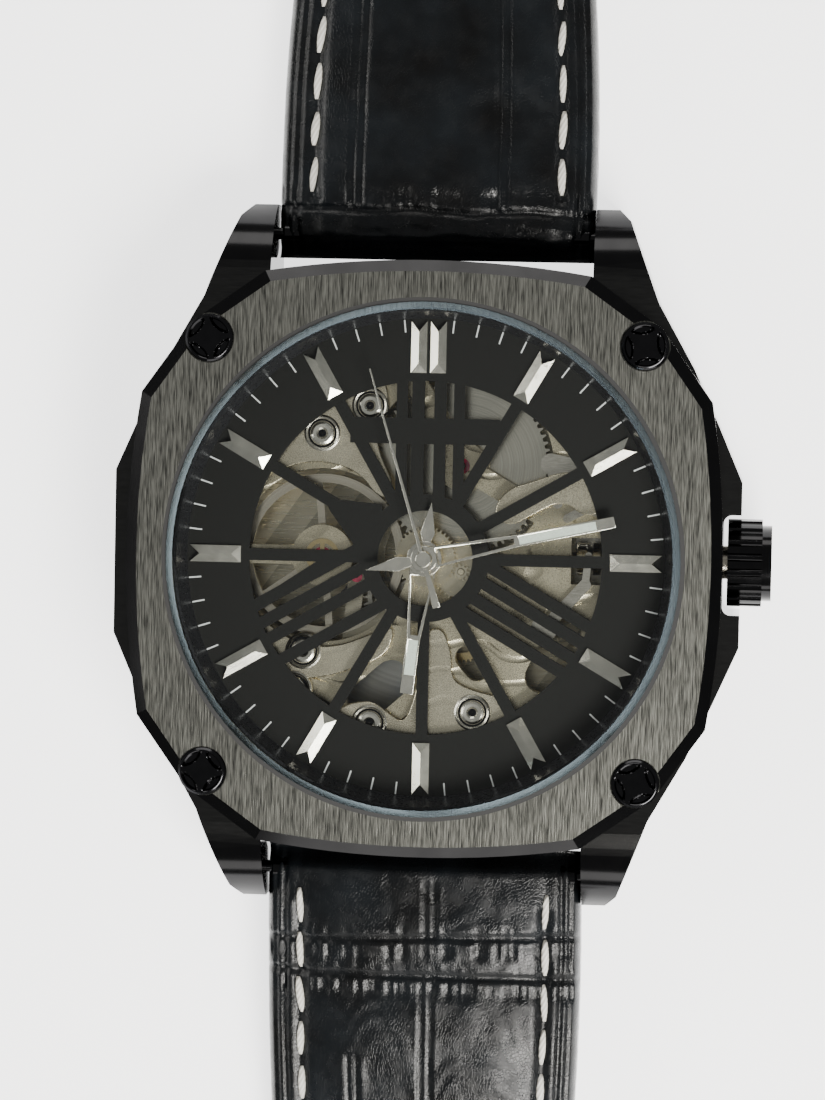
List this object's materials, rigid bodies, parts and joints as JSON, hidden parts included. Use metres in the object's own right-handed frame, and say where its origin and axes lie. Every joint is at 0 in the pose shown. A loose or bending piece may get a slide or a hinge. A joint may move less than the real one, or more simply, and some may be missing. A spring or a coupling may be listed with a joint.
{
  "type": "skeleton wristwatch",
  "caption": "Round cushion-cased automatic wristwatch with cut-away dial, visible movement, screwed bezel and padded leather strap with pin buckle.",
  "frame": {"origin": "centre of the case back's flat face", "axes": "+Z out of the dial, +Y to 12 o'clock along the strap, +X to the crown"},
  "size_m": [0.0449, 0.249, 0.0122],
  "materials": {
    "black_steel": "polished black plated steel",
    "bezel_steel": "brushed dark grey steel with polished bevels",
    "crystal": "clear mineral glass",
    "seal_rubber": "black rubber seal",
    "black_plastic": "matt black",
    "dial_black": "matt black dial lacquer",
    "silver": "polished silver with facets",
    "steel": "brushed steel",
    "plate_metal": "grained champagne grey plating",
    "gilt": "gilt brass",
    "ruby": "synthetic ruby",
    "leather": "black embossed leather with cream stitching",
    "bridge_metal": "striped nickel plating"
  },
  "bodies": {
    "case": {"mid_case": "black_steel", "bezel": "bezel_steel", "bezel_screws": "black_steel", "crystal": "crystal", "crystal_gasket": "seal_rubber", "rehaut_ring": "black_plastic", "case_back": "black_steel", "case_back_glass": "crystal", "case_back_gasket": "seal_rubber", "spring_bars": "steel", "crown_tube": "steel", "dial": "dial_black", "hour_markers": "silver", "movement_ring": "black_plastic", "main_plate": "plate_metal", "barrel_bridge": "bridge_metal", "train_bridge": "bridge_metal", "balance_cock": "bridge_metal", "pallet_cock": "bridge_metal", "movement_screws": "steel", "jewels": "ruby", "shock_springs": "gilt", "hairspring": "steel", "click_spring": "steel", "setting_spring": "steel", "rotor_bearing": "steel"},
    "barrel_body": {"barrel_drum": "silver", "mainspring": "steel"},
    "minute_arbor": {"centre_wheel": "gilt", "cannon_pinion": "steel", "minute_hand": "silver"},
    "third_arbor": {"third_wheel": "gilt"},
    "second_arbor": {"fourth_wheel": "gilt", "second_hand": "silver"},
    "escape_arbor": {"escape_wheel": "steel"},
    "fork": {"pallet_fork": "steel"},
    "balance": {"balance_wheel": "gilt"},
    "minute_work": {"minute_wheel": "gilt"},
    "hour_work": {"hour_wheel": "gilt", "hour_hand": "silver"},
    "clutch": {"sliding_pinion": "steel"},
    "crown_stem": {"crown": "black_steel", "winding_stem": "steel", "crown_seal": "seal_rubber"},
    "winding": {"winding_pinion": "steel"},
    "crown_wheel_body": {"crown_wheel": "steel"},
    "ratchet": {"ratchet_wheel": "steel", "barrel_arbor": "steel"},
    "click_body": {"click": "steel"},
    "setting_lever_body": {"setting_lever": "steel"},
    "yoke_body": {"yoke": "steel"},
    "rotor_body": {"rotor": "steel", "rotor_weight": "steel"},
    "strap_12_body": {"strap_12": "leather", "keeper_fixed": "leather"},
    "strap_6_body": {"strap_6": "leather"},
    "keeper_body": {"keeper_free": "leather"},
    "buckle": {"buckle_frame": "black_steel", "buckle_bar": "steel"},
    "tongue": {"buckle_tongue": "black_steel"}
  },
  "joints": [
    {"name": "minute_turn", "type": "hinge", "parent": "case", "child": "minute_arbor", "pos_m": [0, 0, 0.006], "axis": [0, 0, 1], "continuous": true},
    {"name": "second_turn", "type": "hinge", "parent": "case", "child": "second_arbor", "pos_m": [0, 0, 0.006], "axis": [0, 0, 1], "continuous": true},
    {"name": "third_turn", "type": "hinge", "parent": "case", "child": "third_arbor", "pos_m": [0.0021, -0.00364, 0.006], "axis": [0, 0, 1], "continuous": true},
    {"name": "escape_turn", "type": "hinge", "parent": "case", "child": "escape_arbor", "pos_m": [-0.00286, -0.00286, 0.006], "axis": [0, 0, 1], "continuous": true},
    {"name": "barrel_turn", "type": "hinge", "parent": "case", "child": "barrel_body", "pos_m": [0.0023, 0.0063, 0.006], "axis": [0, 0, 1], "continuous": true},
    {"name": "minute_work_turn", "type": "hinge", "parent": "case", "child": "minute_work", "pos_m": [0.00244, -0.00089, 0.006], "axis": [0, 0, 1], "continuous": true},
    {"name": "hour_turn", "type": "hinge", "parent": "case", "child": "hour_work", "pos_m": [0, 0, 0.006], "axis": [0, 0, 1], "continuous": true},
    {"name": "fork_swing", "type": "hinge", "parent": "case", "child": "fork", "pos_m": [-0.0049, -0.0015, 0.0055], "axis": [0, 0, 1], "range_deg": [-5, 5]},
    {"name": "balance_swing", "type": "hinge", "parent": "case", "child": "balance", "pos_m": [-0.0071, 0, 0.0068], "axis": [0, 0, 1], "range_deg": [-270, 270], "stiffness_Nm_per_rad": 0.00000045},
    {"name": "crown_turn", "type": "hinge", "parent": "case", "child": "clutch", "pos_m": [0.011, 0, 0.0048], "axis": [1, 0, 0], "continuous": true},
    {"name": "crown_pull", "type": "slide", "parent": "clutch", "child": "crown_stem", "axis": [1, 0, 0], "range_m": [0, 0.0009]},
    {"name": "winding_turn", "type": "hinge", "parent": "case", "child": "winding", "pos_m": [0.0128, 0, 0.0048], "axis": [1, 0, 0], "continuous": true},
    {"name": "crown_wheel_turn", "type": "hinge", "parent": "case", "child": "crown_wheel_body", "pos_m": [0.0094, 0, 0.0028], "axis": [0, 0, 1], "continuous": true},
    {"name": "ratchet_turn", "type": "hinge", "parent": "case", "child": "ratchet", "pos_m": [0.0023, 0.0063, 0.0028], "axis": [0, 0, 1], "continuous": true},
    {"name": "click_swing", "type": "hinge", "parent": "case", "child": "click_body", "pos_m": [-0.0044, 0.0069, 0.0029], "axis": [0, 0, 1], "range_deg": [0, 8]},
    {"name": "setting_lever_swing", "type": "hinge", "parent": "case", "child": "setting_lever_body", "pos_m": [0.0116, 0.004, 0.008], "axis": [0, 0, 1], "range_deg": [-8, 0]},
    {"name": "yoke_swing", "type": "hinge", "parent": "case", "child": "yoke_body", "pos_m": [0.0082, -0.0046, 0.008], "axis": [0, 0, 1], "range_deg": [0, 6]},
    {"name": "rotor_turn", "type": "hinge", "parent": "case", "child": "rotor_body", "pos_m": [0, 0, 0.0022], "axis": [0, 0, 1], "continuous": true},
    {"name": "strap_12_swing", "type": "hinge", "parent": "case", "child": "strap_12_body", "pos_m": [0, 0.022, 0.0043], "axis": [1, 0, 0], "range_deg": [-75, 40]},
    {"name": "strap_6_swing", "type": "hinge", "parent": "case", "child": "strap_6_body", "pos_m": [0, -0.022, 0.0043], "axis": [1, 0, 0], "range_deg": [-40, 75]},
    {"name": "keeper_slide", "type": "slide", "parent": "strap_12_body", "child": "keeper_body", "axis": [0, 1, 0], "range_m": [-0.012, 0.002]},
    {"name": "buckle_swing", "type": "hinge", "parent": "strap_12_body", "child": "buckle", "pos_m": [0, 0.097, 0.0023], "axis": [1, 0, 0], "range_deg": [-45, 45]},
    {"name": "tongue_swing", "type": "hinge", "parent": "buckle", "child": "tongue", "pos_m": [0, 0.097, 0.0023], "axis": [1, 0, 0], "range_deg": [0, 60]}
  ],
  "couplings": [
    {"joint": "third_turn", "follows": "minute_turn", "ratio": -8},
    {"joint": "second_turn", "follows": "minute_turn", "ratio": 60},
    {"joint": "escape_turn", "follows": "minute_turn", "ratio": -540},
    {"joint": "barrel_turn", "follows": "minute_turn", "ratio": -0.13514},
    {"joint": "minute_work_turn", "follows": "minute_turn", "ratio": -0.33333},
    {"joint": "hour_turn", "follows": "minute_turn", "ratio": 0.083333},
    {"joint": "winding_turn", "follows": "crown_turn", "ratio": 1},
    {"joint": "crown_wheel_turn", "follows": "crown_turn", "ratio": 0.33333},
    {"joint": "ratchet_turn", "follows": "crown_turn", "ratio": -0.3},
    {"joint": "setting_lever_swing", "follows": "crown_pull", "rad_per_m": -144.44},
    {"joint": "yoke_swing", "follows": "crown_pull", "rad_per_m": 111.11}
  ]
}
